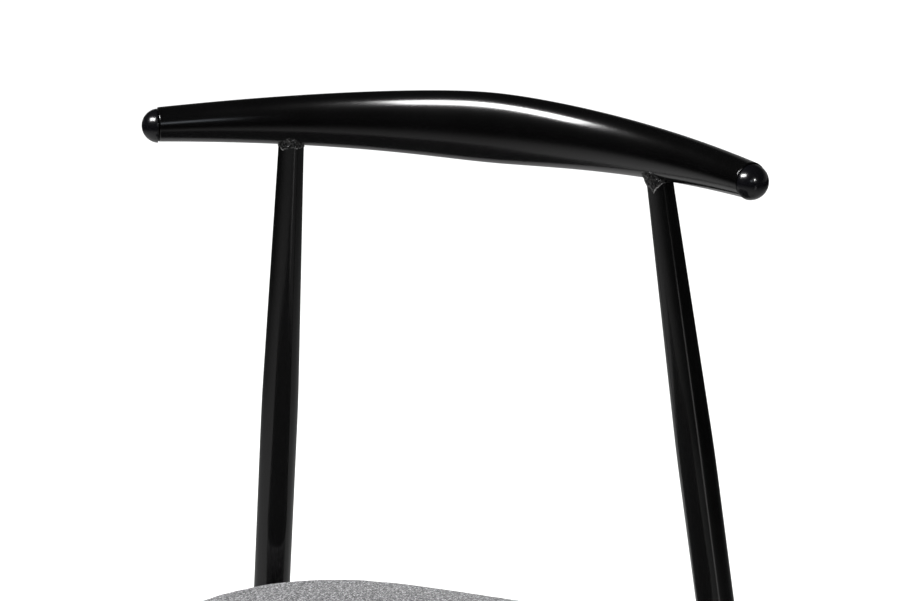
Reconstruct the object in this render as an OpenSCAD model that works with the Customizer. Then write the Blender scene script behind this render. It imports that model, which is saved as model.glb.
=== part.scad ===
// Dining chair: a bowed steel-tube back rail on two raked rear legs, two front legs,
// a welded seat frame, and an upholstered seat pad that is screwed on from below.
// Millimetres, +Z up. The sitter faces -Y. The origin is on the floor, under the middle of the chair.
// Left and right are as seen from the front: left is -X.

/* [Back rail] */
// Distance between the middles of the two end caps
rail_span = 428; // [400:2:450]
// How far the rail's middle lies behind its ends
rail_bow = 73; // [60:1:85]
// Height of the rail's centreline at its middle
rail_z = 794; // [770:1:820]
// Distance of the rail's middle behind the chair's middle
rail_y = 178; // [170:1:186]
// Height of the rail's oval section at the middle
rail_mid_height = 48.3; // [42:0.1:54]
// Depth of the rail's oval section at the middle
rail_mid_depth = 27; // [24:0.5:32]
// Diameter of the rail's round ends
rail_end_dia = 23.7; // [22:0.1:26]
// How much lower the rail's ends are than its middle
rail_droop = 2.4; // [0:0.1:4]
// Diameter of the domed end caps
cap_dia = 23.6; // [23:0.2:26]

/* [Legs] */
// Diameter of the leg tube where it isn't swaged
leg_dia = 26; // [22:0.1:28]
// Diameter of a rear leg's top, where it meets the back rail
leg_top_dia = 17.4; // [15:0.1:20]
// Diameter of a leg's foot
leg_foot_dia = 16; // [14:0.5:19]
// Height over which a rear leg's top narrows
top_taper_height = 190; // [150:5:230]
// Distance of a rear leg's top from the middle plane
rear_top_x = 135.5; // [130:0.5:141]
// Outward slope of a rear leg, going down
rear_splay = 0.111; // [0.095:0.001:0.125]
// Backward slope of a rear leg, going down
rear_rake = 0.1036; // [0.09:0.0004:0.115]
// Distance of a front leg's axis from the middle plane, at the seat frame
front_leg_x = 190; // [184:1:194]
// Distance of a front leg's axis ahead of the chair's middle, at the seat frame
front_leg_y = 204; // [198:1:208]
// Outward slope of a front leg, going down
front_splay = 0.085; // [0.06:0.005:0.11]
// Wall of the steel tubes
tube_wall = 1.5; // [1.2:0.1:2]

/* [Seat] */
// Top of the seat frame's rails, where the pad rests
frame_top_z = 413; // [400:1:425]
// Diameter of the seat frame's rails
frame_rail_dia = 16; // [14:0.5:17]
// Distance of the pad's rear edge behind the chair's middle
pad_rear = 201; // [196:1:206]
// Distance of the pad's front edge ahead of the chair's middle
pad_front = 228; // [222:1:232]
// Radius of the pad's rear corners
rear_corner_r = 128; // [115:1:135]
// Distance of the middle of a rear corner from the middle plane
rear_corner_x = 68; // [64:1:72]
// Radius of the pad's front corners
front_corner_r = 42; // [38:1:50]
// Distance of the middle of a front corner from the middle plane
front_corner_x = 172; // [168:1:176]
// Height of the pad above the seat frame, at the start of its crown
pad_height = 45.5; // [42:0.5:52]
// How much the middle of the pad is higher than its edge
pad_crown = 6; // [3:0.5:9]
// Thickness of the plywood board
board_t = 12; // [10:0.5:15]
// Thickness of the cover fabric
fabric_t = 1.2; // [0.8:0.1:1.6]
// Thickness of the fibre wadding between the foam and the cover
wadding_t = 3; // [2:0.5:5]

/* [Fasteners] */
// Nominal diameter of the seat screws
screw_dia = 6; // [5:0.5:6]
// Distance of the rear seat brackets behind the chair's middle
rear_bracket_y = 95; // [80:5:110]
// Distance of the front seat brackets ahead of the chair's middle
front_bracket_y = 110; // [90:5:125]

/* [Hidden] */
$fn = 48;
LEFT = -1;
RIGHT = 1;

steel_colour = [0.03, 0.03, 0.035];
fabric_colour = [0.56, 0.57, 0.59];

// ---- Back rail: a tube swept along a parabola, tallest at its middle ----
rail_half = rail_span / 2;
rail_rings = 56;
rail_bore_rings = 18;
rail_sides = 32;
rail_peak = 0.14;
stub_half_rings = 4;

// 1 at the rail's middle and 0 at its ends: a straight taper, rounded over at the middle
function rail_taper(u) =
    1 - (sqrt(u * u + rail_peak * rail_peak) - rail_peak)
      / (sqrt(1 + rail_peak * rail_peak) - rail_peak);
function rail_half_size(u, mid) = rail_end_dia / 2 + (mid / 2 - rail_end_dia / 2) * rail_taper(u);
function rail_centre(u) =
    [rail_half * u, rail_y - rail_bow * u * u, rail_z - rail_droop * u * u];
function rail_heading(u) = atan2(-2 * rail_bow * u, rail_half);
function rail_ring(u, inset) =
    let (
        across = rail_half_size(u, rail_mid_depth) - inset,
        upright = rail_half_size(u, rail_mid_height) - inset,
        heading = rail_heading(u)
    )
    [for (k = [0 : rail_sides - 1])
        let (a = 360 * k / rail_sides, c = across * cos(a))
        rail_centre(u) + [-c * sin(heading), c * cos(heading), upright * sin(a)]];

// ---- Rear legs: the axis leaves the rail's underside and runs straight to the floor ----
rear_u = rear_top_x / rail_half;
rail_under_z = rail_centre(rear_u)[2] - rail_half_size(rear_u, rail_mid_height);
rear_top = [rear_top_x, rail_centre(rear_u)[1], rail_under_z];
function rear_at(z) =
    [rear_top[0] + rear_splay * (rear_top[2] - z), rear_top[1] + rear_rake * (rear_top[2] - z), z];

// ---- Front legs: as far forward at the floor as the rear legs are back ----
frame_rail_z = frame_top_z - frame_rail_dia / 2;
front_rake = (rear_at(0)[1] - front_leg_y) / frame_rail_z;
function front_at(z) =
    [front_leg_x + front_splay * (frame_rail_z - z), -front_leg_y - front_rake * (frame_rail_z - z), z];

foot_height = 8;
foot_flange = 0.6;
foot_stem = 15;
foot_ribs = [3, 7, 11];
foot_taper_top_z = 380;
cope_overlap = 20;
plug_disc_t = 1.5;
plug_depth = 14;
plug_wall = 2;
plug_gap = 0.15;
rib_height = 2.5;
rib_rise = 0.5;
weld_r = 3;
frame_weld_r = 2.4;
frame_weld_sink = 0.9;
weld_flush_drop = 0.4;

// ---- End caps: their middles lie a little lower than the rail's ends ----
cap_neck = 0.4;
cap_neck_dia = cap_dia - 2.4;
cap_drop = 0.9;
cap_stem = 14;
cap_ribs = [2, 6, 10];
cap_rib_height = 2;
cap_rib_rise = 0.8;

// ---- Seat pad: four corner arcs, bowed front and rear edges, straight sides ----
rear_bow_r = 900;
front_bow_r = 1400;
rear_bow_y = pad_rear - rear_bow_r;
front_bow_y = front_bow_r - pad_front;
rear_corner_y = rear_bow_y + sqrt(pow(rear_bow_r - rear_corner_r, 2) - pow(rear_corner_x, 2));
front_corner_y = front_bow_y - sqrt(pow(front_bow_r - front_corner_r, 2) - pow(front_corner_x, 2));
rear_bow_angle = atan2(rear_corner_y - rear_bow_y, rear_corner_x);
front_bow_angle = atan2(front_corner_y - front_bow_y, front_corner_x);
corner_run = rear_corner_y - front_corner_y;
corner_step = front_corner_x - rear_corner_x;
side_angle = atan2(corner_step, corner_run)
    - asin((rear_corner_r - front_corner_r) / norm([corner_step, corner_run]));
pad_middle_y = (pad_rear - pad_front) / 2;

function arc(cx, cy, r, from, to, steps) =
    [for (i = [0 : steps]) let (a = from + (to - from) * i / steps) [cx + r * cos(a), cy + r * sin(a)]];
function side_line(inset, steps) =
    let (
        n = [cos(side_angle), sin(side_angle)],
        a = [front_corner_x, front_corner_y] + (front_corner_r - inset) * n,
        b = [rear_corner_x, rear_corner_y] + (rear_corner_r - inset) * n
    )
    [for (i = [1 : steps - 1]) a + (b - a) * i / steps];
// The right half of the outline, from the front's middle to the rear's middle
function half_outline(inset) = concat(
    arc(0, front_bow_y, front_bow_r - inset, -90, front_bow_angle, 6),
    arc(front_corner_x, front_corner_y, front_corner_r - inset,
        front_bow_angle + (side_angle - front_bow_angle) / 6, side_angle, 5),
    side_line(inset, 9),
    arc(rear_corner_x, rear_corner_y, rear_corner_r - inset, side_angle, rear_bow_angle, 9),
    arc(0, rear_bow_y, rear_bow_r - inset, rear_bow_angle + (90 - rear_bow_angle) / 3, 90, 2)
);
// The whole outline, moved inwards by inset
function outline(inset) =
    let (half = half_outline(inset), last = len(half) - 1)
    concat(half, [for (i = [last - 1 : -1 : 1]) [-half[i][0], half[i][1]]]);
function shrink(points, share) =
    [for (p = points) [p[0] * share, pad_middle_y + (p[1] - pad_middle_y) * share]];
function at_height(points, z) = [for (p = points) [p[0], p[1], z]];

hem_z = frame_top_z;
board_z = hem_z + fabric_t;
foam_z = board_z + board_t;
widest_z = frame_top_z + 25;
edge_z = frame_top_z + pad_height;
edge_round = 25;
edge_tuck = 7;
hem_width = 42;
crown_shares = [0.9, 0.75, 0.56, 0.35, 0.12];

// One horizontal ring of the pad's side. a runs from 0 at the widest level to 90 at the top.
function upper_ring(a, t) =
    at_height(outline(t + edge_round * (1 - pow(cos(a), 0.8))),
              widest_z + (edge_z - t - widest_z) * pow(sin(a), 0.8));
// a runs from 0 at the widest level to 90 at the bottom edge, which is at height z
function lower_ring(a, t, z) =
    at_height(outline(t + edge_tuck * (1 - pow(cos(a), 0.7))), widest_z - (widest_z - z) * sin(a));
function crown_ring(share, t) =
    at_height(shrink(outline(edge_round + t), share), edge_z - t + pad_crown * (1 - share * share));
// The rings of the pad's surface, t inside the outer face, from its top to its lower edge at height z
function pad_rings(t, z) = concat(
    [for (i = [len(crown_shares) - 1 : -1 : 0]) crown_ring(crown_shares[i], t)],
    [for (a = [90 : -15 : 0]) upper_ring(a, t)],
    [for (a = [22.5 : 22.5 : 90]) lower_ring(a, t, z)]
);
function reversed(list) = [for (i = [len(list) - 1 : -1 : 0]) list[i]];

// ---- Seat fixings ----
cloth_t = 0.6;
bracket_t = 3;
bracket_w = 30;
bracket_reach = 46;
bracket_screw_at = 34;
bracket_start = 3;
bracket_top_z = frame_top_z - cloth_t;
washer_t = 1.2;
washer_dia = 14;
screw_length = 16;
screw_head_dia = 11;
screw_head_t = 3.6;
socket_flats = 4;
socket_depth = 2.2;
nut_flange_dia = 18;
nut_flange_t = 1.4;
nut_barrel_dia = 8;
nut_barrel_length = 9;
screw_seat_z = bracket_top_z - bracket_t;
dust_inset = 33;
staple_inset = 37;
staple_crown = 10;
staple_wire = 0.6;
staple_leg = 8;
staple_clearance = 24;

// Position of a bracket's screw, on the right side, for a bracket at this y
function rail_point(y) =
    let (f = front_at(frame_rail_z), r = rear_at(frame_rail_z), s = (y - f[1]) / (r[1] - f[1]))
    f + (r - f) * s;
side_rail_turn = atan2(front_at(frame_rail_z)[0] - rear_at(frame_rail_z)[0],
                       rear_at(frame_rail_z)[1] - front_at(frame_rail_z)[1]);
function screw_point(y) =
    rail_point(y) - bracket_screw_at * [cos(side_rail_turn), sin(side_rail_turn), 0];
bracket_ys = [rear_bracket_y, -front_bracket_y];

// ---- Shared shapes ----
// A solid through rings of equal length: closed in a loop, or with a flat face at each end
module skin(rings, loop = false) {
    sides = len(rings[0]);
    count = len(rings);
    last = loop ? count - 1 : count - 2;
    walls = [for (i = [0 : last]) for (k = [0 : sides - 1])
        let (
            j = (i + 1) % count,
            m = (k + 1) % sides,
            a = i * sides + k, b = i * sides + m, c = j * sides + k, d = j * sides + m
        )
        each [[a, b, d], [a, d, c]]];
    ends = loop ? [] : [
        [for (k = [sides - 1 : -1 : 0]) k],
        [for (k = [0 : sides - 1]) (count - 1) * sides + k]
    ];
    polyhedron([for (r = rings) each r], concat(walls, ends));
}

// Moves what stands on +Z so that it runs from one point to another, with round parts' seams sideways
module along(from, to) {
    v = to - from;
    translate(from)
        rotate([0, acos(v[2] / norm(v)), atan2(v[1], v[0])])
            rotate([0, 0, 90])
                children();
}

module on_side(side) {
    if (side == LEFT) mirror([1, 0, 0]) children();
    else children();
}

module tube(outer_r, length) {
    difference() {
        cylinder(r = outer_r, h = length);
        translate([0, 0, -1]) cylinder(r = outer_r - tube_wall, h = length + 2);
    }
}

// ---- Back rail ----
// The stretch of the rail over one rear leg, as a solid
module rail_stub(side) {
    middle = round((1 + side * rear_u) / 2 * rail_rings);
    skin([for (i = [middle + stub_half_rings : -1 : middle - stub_half_rings])
        rail_ring(2 * i / rail_rings - 1, 0)]);
}

module back_rail() {
    outside = [for (i = [rail_rings : -1 : 0]) rail_ring(2 * i / rail_rings - 1, 0)];
    inside = [for (i = [0 : rail_bore_rings]) rail_ring(2 * i / rail_bore_rings - 1, tube_wall)];
    color(steel_colour) skin(concat(outside, inside), loop = true);
}

// A domed plastic cap with a short neck, and a ribbed stem inside the tube
module end_cap(side) {
    stem_r = rail_end_dia / 2 - tube_wall - cap_drop - plug_gap;
    color([0.02, 0.02, 0.02])
        on_side(side)
            translate(rail_centre(1) - [0, 0, cap_drop])
                rotate([0, 0, rail_heading(1)])
                    rotate([0, 90, 0]) {
                        difference() {
                            translate([0, 0, cap_neck]) sphere(d = cap_dia, $fn = 64);
                            translate([0, 0, cap_neck - cap_dia]) cylinder(d = 2 * cap_dia, h = cap_dia);
                        }
                        cylinder(d = cap_neck_dia, h = cap_neck + 1);
                        translate([0, 0, -cap_stem]) {
                            cylinder(r = stem_r - cap_rib_rise, h = cap_stem + 1);
                            for (z = cap_ribs)
                                translate([0, 0, z])
                                    cylinder(r1 = stem_r - cap_rib_rise, r2 = stem_r, h = cap_rib_height);
                        }
                    }
}

// ---- Legs ----
// A leg's outline, as [distance up the axis, radius] from the foot to the top
function stretch(slope) = norm([slope[0], slope[1], 1]);
rear_stretch = stretch([rear_splay, rear_rake]);
front_stretch = stretch([front_splay, front_rake]);
rear_profile = [
    [foot_height, leg_foot_dia / 2],
    [foot_taper_top_z * rear_stretch, leg_dia / 2],
    [(rear_top[2] - top_taper_height) * rear_stretch, leg_dia / 2],
    [rear_top[2] * rear_stretch, leg_top_dia / 2],
    [rear_top[2] * rear_stretch + cope_overlap, leg_top_dia / 2]
];
front_profile = [
    [foot_height, leg_foot_dia / 2],
    [foot_taper_top_z * front_stretch, leg_dia / 2],
    [frame_top_z * front_stretch + cope_overlap, leg_dia / 2]
];

// A turned solid of this profile, less a skin of this thickness
module turned(profile, less = 0) {
    last = len(profile) - 1;
    rotate_extrude($fn = 64)
        polygon(concat(
            [[0, profile[0][0]]],
            [for (p = profile) [p[1] - less, p[0]]],
            [[0, profile[last][0]]]
        ));
}

module turned_tube(profile) {
    last = len(profile) - 1;
    rotate_extrude($fn = 64)
        polygon(concat(
            [for (p = profile) [p[1], p[0]]],
            [for (i = [last : -1 : 0]) [profile[i][1] - tube_wall, profile[i][0]]]
        ));
}

module rear_leg_solid() {
    along(rear_at(0), rear_top) turned(rear_profile);
}

module front_leg_solid() {
    along(front_at(0), front_at(frame_top_z)) turned(front_profile);
}

// The top is cut to the rail's underside, so that the two meet all round
module rear_leg(side) {
    color(steel_colour)
        difference() {
            on_side(side) along(rear_at(0), rear_top) turned_tube(rear_profile);
            rail_stub(side);
        }
}

// The top is cut level, under its plug
module front_leg(side) {
    color(steel_colour)
        on_side(side)
            difference() {
                along(front_at(0), front_at(frame_top_z)) turned_tube(front_profile);
                translate([0, -2 * front_leg_y, frame_top_z - plug_disc_t])
                    cube([2 * front_leg_x, 2 * front_leg_y, 2 * cope_overlap]);
            }
}

// A level disc on the leg's top, and a hollow skirt inside the tube
module front_leg_plugs() {
    bore_r = leg_dia / 2 - tube_wall - plug_gap;
    top = front_at(frame_top_z);
    color([0.04, 0.04, 0.04])
        for (side = [LEFT, RIGHT])
            on_side(side) {
                translate(front_at(frame_top_z - plug_disc_t)) cylinder(d = leg_dia, h = plug_disc_t);
                difference() {
                    along(front_at(frame_top_z - plug_depth), top) cylinder(r = bore_r, h = plug_depth + 2);
                    translate([0, -2 * front_leg_y, frame_top_z - 0.5 * plug_disc_t])
                        cube([2 * front_leg_x, 2 * front_leg_y, plug_depth]);
                    along(front_at(frame_top_z - plug_depth - 1), top)
                        cylinder(r = bore_r - plug_wall, h = plug_depth - 1);
                }
            }
}

// A plastic foot: a flange cut level with the floor, and a stem inside the leg
module foot(side, ground, up) {
    bore_r = leg_foot_dia / 2 - tube_wall - plug_gap;
    flange_r = leg_foot_dia / 2 + foot_flange;
    color([0.05, 0.05, 0.05])
        on_side(side)
            difference() {
                along(ground, up) {
                    translate([0, 0, -foot_height / 2]) cylinder(r = flange_r, h = 1.5 * foot_height);
                    translate([0, 0, foot_height - 1]) cylinder(r = bore_r - rib_rise, h = foot_stem + 1);
                    for (z = foot_ribs)
                        translate([0, 0, foot_height + z])
                            cylinder(r1 = bore_r, r2 = bore_r - rib_rise, h = rib_height);
                }
                translate([ground[0], ground[1], -foot_height]) cylinder(r = 2 * flange_r, h = foot_height);
            }
}

// ---- Seat frame ----
module rail_rod(from, to, r) {
    along(from, to) cylinder(r = r, h = norm(to - from));
}

// A tube between two leg axes, cut to fit round both legs
module seat_rail(from, to) {
    color(steel_colour)
        difference() {
            along(from, to) tube(frame_rail_dia / 2, norm(to - from));
            children();
        }
}

function flipped(p) = [-p[0], p[1], p[2]];

module seat_rail_front() {
    seat_rail(flipped(front_at(frame_rail_z)), front_at(frame_rail_z))
        for (side = [LEFT, RIGHT]) on_side(side) front_leg_solid();
}

module seat_rail_rear() {
    seat_rail(flipped(rear_at(frame_rail_z)), rear_at(frame_rail_z))
        for (side = [LEFT, RIGHT]) on_side(side) rear_leg_solid();
}

module seat_rail_side(side) {
    on_side(side)
        seat_rail(front_at(frame_rail_z), rear_at(frame_rail_z)) {
            front_leg_solid();
            rear_leg_solid();
        }
}

// A ring of weld metal round something of this radius, standing on +Z
module weld_ring(r, size) {
    rotate_extrude($fn = 48) translate([r, 0]) circle(r = size, $fn = 16);
}

module back_rail_welds() {
    ring_up = 1.5;
    color(steel_colour)
        for (side = [LEFT, RIGHT])
            difference() {
                on_side(side)
                    along(rear_at(0), rear_top)
                        translate([0, 0, rear_top[2] * rear_stretch + ring_up])
                            weld_ring(leg_top_dia / 2, weld_r);
                on_side(side) rear_leg_solid();
                rail_stub(side);
            }
}

// What is ground off the welds, so that they stay below the top of the frame, where the pad rests
module above_frame() {
    translate([0, -2 * front_leg_y, frame_top_z - weld_flush_drop])
        cube([2 * front_leg_x, 4 * front_leg_y, frame_rail_dia]);
}

// The bead at the end of a rail that starts at the leg's axis
module rail_end_weld(from, to) {
    difference() {
        along(from, to)
            translate([0, 0, leg_dia / 2 - frame_weld_sink])
                weld_ring(frame_rail_dia / 2, frame_weld_r);
        above_frame();
    }
}

// The bead where the rail from knee to far meets a leg, clear of the other rail at that knee.
// The leg's solid is the child.
module knee_weld(knee, far, other, other_r) {
    rail_r = frame_rail_dia / 2;
    difference() {
        rail_end_weld(knee, far);
        children();
        rail_rod(knee, far, rail_r);
        rail_rod(knee, other, other_r);
    }
}

module seat_frame_welds() {
    front = front_at(frame_rail_z);
    rear = rear_at(frame_rail_z);
    rail_r = frame_rail_dia / 2;
    color(steel_colour)
        for (side = [LEFT, RIGHT])
            on_side(side) {
                knee_weld(front, flipped(front), rear, rail_r) front_leg_solid();
                knee_weld(front, rear, flipped(front), rail_r + weld_r) front_leg_solid();
                knee_weld(rear, flipped(rear), front, rail_r) rear_leg_solid();
                knee_weld(rear, front, flipped(rear), rail_r + weld_r) rear_leg_solid();
            }
}

// A flat steel tab on a side rail, with a clearance hole for the seat screw
module seat_bracket(side, y) {
    color(steel_colour)
        on_side(side)
            difference() {
                translate([rail_point(y)[0], y, bracket_top_z - bracket_t])
                    rotate([0, 0, side_rail_turn])
                        translate([-bracket_reach, -bracket_w / 2, 0])
                            cube([bracket_reach - bracket_start, bracket_w, bracket_t]);
                rail_rod(front_at(frame_rail_z), rear_at(frame_rail_z), frame_rail_dia / 2);
                at_screw(y, bracket_top_z - bracket_t - 1) cylinder(d = screw_dia + 0.6, h = bracket_t + 2);
            }
}

module at_screw(y, z) {
    translate([screw_point(y)[0], screw_point(y)[1], z]) children();
}

module at_screws(z) {
    for (side = [LEFT, RIGHT])
        for (y = bracket_ys)
            on_side(side) at_screw(y, z) children();
}

// A pan head with a hexagon socket, facing down, and a plain shank for the thread
module seat_screws() {
    color([0.15, 0.15, 0.15])
        at_screws(screw_seat_z - washer_t)
            difference() {
                union() {
                    cylinder(d = screw_dia, h = screw_length);
                    translate([0, 0, -screw_head_t])
                        cylinder(d1 = screw_head_dia - 2.5, d2 = screw_head_dia, h = screw_head_t);
                }
                translate([0, 0, -screw_head_t - 1])
                    cylinder(d = socket_flats / cos(30), h = socket_depth + 1, $fn = 6);
            }
}

module seat_washers() {
    color([0.5, 0.5, 0.5])
        at_screws(screw_seat_z - washer_t)
            difference() {
                cylinder(d = washer_dia, h = washer_t);
                translate([0, 0, -1]) cylinder(d = screw_dia + 0.4, h = washer_t + 2);
            }
}

// A flanged nut let into the top of the board, with its barrel pointing down
module tee_nuts() {
    top = foam_z;
    color([0.6, 0.6, 0.6])
        at_screws(top - nut_flange_t)
            difference() {
                union() {
                    cylinder(d = nut_flange_dia, h = nut_flange_t);
                    translate([0, 0, -nut_barrel_length]) cylinder(d = nut_barrel_dia, h = nut_barrel_length + 1);
                }
                translate([0, 0, -nut_barrel_length - 1])
                    cylinder(d = screw_dia + 0.1, h = nut_barrel_length + nut_flange_t + 2);
            }
}

// ---- Seat pad ----
module seat_board() {
    color([0.76, 0.62, 0.42])
        difference() {
            translate([0, 0, board_z])
                linear_extrude(board_t) polygon(outline(edge_tuck + fabric_t));
            at_screws(board_z - 1) cylinder(d = nut_barrel_dia + 0.2, h = board_t + 2);
            at_screws(foam_z - nut_flange_t) cylinder(d = nut_flange_dia + 0.4, h = nut_flange_t + 1);
        }
}

module seat_foam() {
    color([0.93, 0.88, 0.66]) skin(pad_rings(fabric_t + wadding_t, foam_z));
}

module seat_wadding() {
    color([0.95, 0.95, 0.93])
        skin(concat(
            pad_rings(fabric_t, foam_z),
            reversed(pad_rings(fabric_t + wadding_t, foam_z))
        ));
}

// The fabric runs over the pad, round the board's edge and under it, where it is stapled
module seat_cover() {
    hem_outer = at_height(outline(hem_width), hem_z);
    hem_inner = at_height(outline(hem_width), board_z);
    color(fabric_colour)
        skin(concat(
            pad_rings(0, hem_z),
            [hem_outer, hem_inner],
            reversed(pad_rings(fabric_t, board_z))
        ));
}

// A thin cloth that closes the underside, over the hem's raw edge
module dust_cover() {
    color([0.06, 0.06, 0.06])
        difference() {
            translate([0, 0, hem_z - cloth_t])
                linear_extrude(cloth_t) polygon(outline(dust_inset));
            at_screws(hem_z - cloth_t - 1) cylinder(d = screw_dia + 1, h = cloth_t + 2);
        }
}

module staple() {
    half = staple_crown / 2;
    translate([-half, -staple_wire, 0]) cube([staple_crown, 2 * staple_wire, staple_wire]);
    for (x = [-half, half - staple_wire])
        translate([x, -staple_wire, 0]) cube([staple_wire, 2 * staple_wire, staple_leg]);
}

// One staple on every long side of the outline, except where a bracket is in the way
module staples() {
    path = outline(staple_inset);
    color([0.7, 0.7, 0.7])
        for (i = [0 : len(path) - 1]) {
            a = path[i];
            b = path[(i + 1) % len(path)];
            middle = (a + b) / 2;
            gaps = [for (y = bracket_ys)
                norm([abs(middle[0]) - screw_point(y)[0], middle[1] - screw_point(y)[1]])];
            if (norm(b - a) > staple_crown + 3 && min(gaps) > staple_clearance)
                translate([middle[0], middle[1], hem_z - cloth_t - staple_wire])
                    rotate([0, 0, atan2(b[1] - a[1], b[0] - a[0])])
                        staple();
        }
}

back_rail();
end_cap(LEFT);  // end_cap_left
end_cap(RIGHT);  // end_cap_right
back_rail_welds();
rear_leg(LEFT);  // rear_leg_left
rear_leg(RIGHT);  // rear_leg_right
front_leg(LEFT);  // front_leg_left
front_leg(RIGHT);  // front_leg_right
seat_rail_front();
seat_rail_rear();
seat_rail_side(LEFT);  // seat_rail_left
seat_rail_side(RIGHT);  // seat_rail_right
seat_frame_welds();
front_leg_plugs();
foot(LEFT, rear_at(0), rear_top);  // foot_rear_left
foot(RIGHT, rear_at(0), rear_top);  // foot_rear_right
foot(LEFT, front_at(0), front_at(frame_top_z));  // foot_front_left
foot(RIGHT, front_at(0), front_at(frame_top_z));  // foot_front_right
seat_bracket(LEFT, rear_bracket_y);  // seat_bracket_rear_left
seat_bracket(RIGHT, rear_bracket_y);  // seat_bracket_rear_right
seat_bracket(LEFT, -front_bracket_y);  // seat_bracket_front_left
seat_bracket(RIGHT, -front_bracket_y);  // seat_bracket_front_right
seat_screws();
seat_washers();
tee_nuts();
seat_board();
seat_foam();
seat_wadding();
seat_cover();
dust_cover();
staples();
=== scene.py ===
"""Looks of the metal dining chair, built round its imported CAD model.

Metres, +Z up, the sitter faces -Y. Left is -X, as seen from the front.
"""

import math

import bmesh
import bpy
import numpy as np
from mathutils import Matrix, Vector, noise


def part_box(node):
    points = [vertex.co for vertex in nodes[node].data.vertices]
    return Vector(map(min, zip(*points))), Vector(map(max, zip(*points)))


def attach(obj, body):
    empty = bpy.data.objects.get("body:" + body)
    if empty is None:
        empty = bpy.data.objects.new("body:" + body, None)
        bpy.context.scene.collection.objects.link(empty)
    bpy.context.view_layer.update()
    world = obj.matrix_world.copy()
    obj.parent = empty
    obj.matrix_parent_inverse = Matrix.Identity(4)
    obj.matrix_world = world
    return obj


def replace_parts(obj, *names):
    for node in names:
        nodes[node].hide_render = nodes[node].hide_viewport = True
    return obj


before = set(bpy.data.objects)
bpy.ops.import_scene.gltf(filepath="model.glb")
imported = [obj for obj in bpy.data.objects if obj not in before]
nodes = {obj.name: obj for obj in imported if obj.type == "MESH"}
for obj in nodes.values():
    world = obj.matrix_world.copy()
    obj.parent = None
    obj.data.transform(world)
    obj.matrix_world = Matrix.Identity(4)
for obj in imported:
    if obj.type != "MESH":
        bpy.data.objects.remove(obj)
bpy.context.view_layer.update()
ROOT = "root"
MM = 0.001
LEFT, RIGHT = -1, 1

# ---- Sizes as in the CAD model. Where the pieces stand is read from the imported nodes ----
RAIL_HALF = 214 * MM
RAIL_BOW = 73 * MM
RAIL_DROOP = 2.4 * MM  # how far its ends hang below its middle
RAIL_MID_DEPTH = 27 * MM
RAIL_END_R = 11.85 * MM
RAIL_PEAK = 0.14  # how softly it swells in the middle
RIM_REACH = 1.05 * MM  # how far its rounded rims stand past its ends
TUBE_WALL = 1.5 * MM
LEG_R = 13 * MM
LEG_TOP_R = 8.7 * MM
LEG_FOOT_R = 8 * MM
LEG_TOP_TAPER = 190 * MM  # the height over which a rear leg narrows below the rail
LEG_FOOT_TAPER_Z = 380 * MM  # the height from which a leg narrows down to its foot
FOOT_HEIGHT = 8 * MM
LEG_TOP_X = 135.5 * MM
FRONT_LEG_X = 190 * MM
FRAME_RAIL_R = 8 * MM
CAP_MIDDLE = 0.4 * MM  # how far past the rail's end the dome's centre lies
CAP_STEM = 12 * MM

# ---- Sizes of the cloth's yarns and the seat board's plies, which the CAD model doesn't have ----
YARN = 1.45 * MM
PLY = 3.4 * MM

rail_low, rail_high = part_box("back_rail")
RAIL_MID_HEIGHT = rail_high.z - rail_low.z
RAIL_MIDDLE = Vector((0, rail_high.y - RAIL_MID_DEPTH / 2, (rail_low.z + rail_high.z) / 2))
pad_low, pad_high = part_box("seat_cover")


# ---- Mesh helpers ----
def in_scene(name, data):
    """A new object in the scene, made of a mesh, a light or a camera."""
    thing = bpy.data.objects.new(name, data)
    bpy.context.scene.collection.objects.link(thing)
    return thing


def shade_smooth(mesh):
    mesh.polygons.foreach_set("use_smooth", [True] * len(mesh.polygons))


def new_piece(name, verts, faces, material):
    """A mesh piece that rides on the chair, with its normals facing out."""
    mesh = bpy.data.meshes.new(name)
    mesh.from_pydata([tuple(v) for v in verts], [], faces)
    bm = bmesh.new()
    bm.from_mesh(mesh)
    bmesh.ops.recalc_face_normals(bm, faces=bm.faces)
    bm.to_mesh(mesh)
    bm.free()
    shade_smooth(mesh)
    piece = in_scene(name, mesh)
    mesh.materials.append(material)
    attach(piece, ROOT)
    return piece


def join_rings(rings, loop=False, caps=True):
    """Vertices and faces of a skin through rings of equal length, closed in a loop or capped."""
    sides = len(rings[0])
    count = len(rings)
    verts = [p for ring in rings for p in ring]
    faces = []
    for i in range(count if loop else count - 1):
        j = (i + 1) % count
        for k in range(sides):
            m = (k + 1) % sides
            faces.append((i * sides + k, i * sides + m, j * sides + m, j * sides + k))
    if caps and not loop:
        faces.append(tuple(range(sides)))
        faces.append(tuple((count - 1) * sides + k for k in range(sides)))
    return verts, faces


def frame_of(axis):
    """Two unit vectors that stand square to an axis and to each other."""
    axis = axis.normalized()
    side = axis.cross(Vector((0, 1, 0)) if abs(axis.y) < 0.9 else Vector((1, 0, 0))).normalized()
    return side, axis.cross(side).normalized()


def lathe(profile, origin, axis, sides=96):
    """Rings of a turned shape. profile is (distance along the axis, radius) pairs."""
    axis = axis.normalized()
    e1, e2 = frame_of(axis)
    turns = [2 * math.pi * k / sides for k in range(sides)]
    return [
        [origin + axis * s + (e1 * math.cos(t) + e2 * math.sin(t)) * max(r, 1e-6) for t in turns]
        for s, r in profile
    ]


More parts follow.
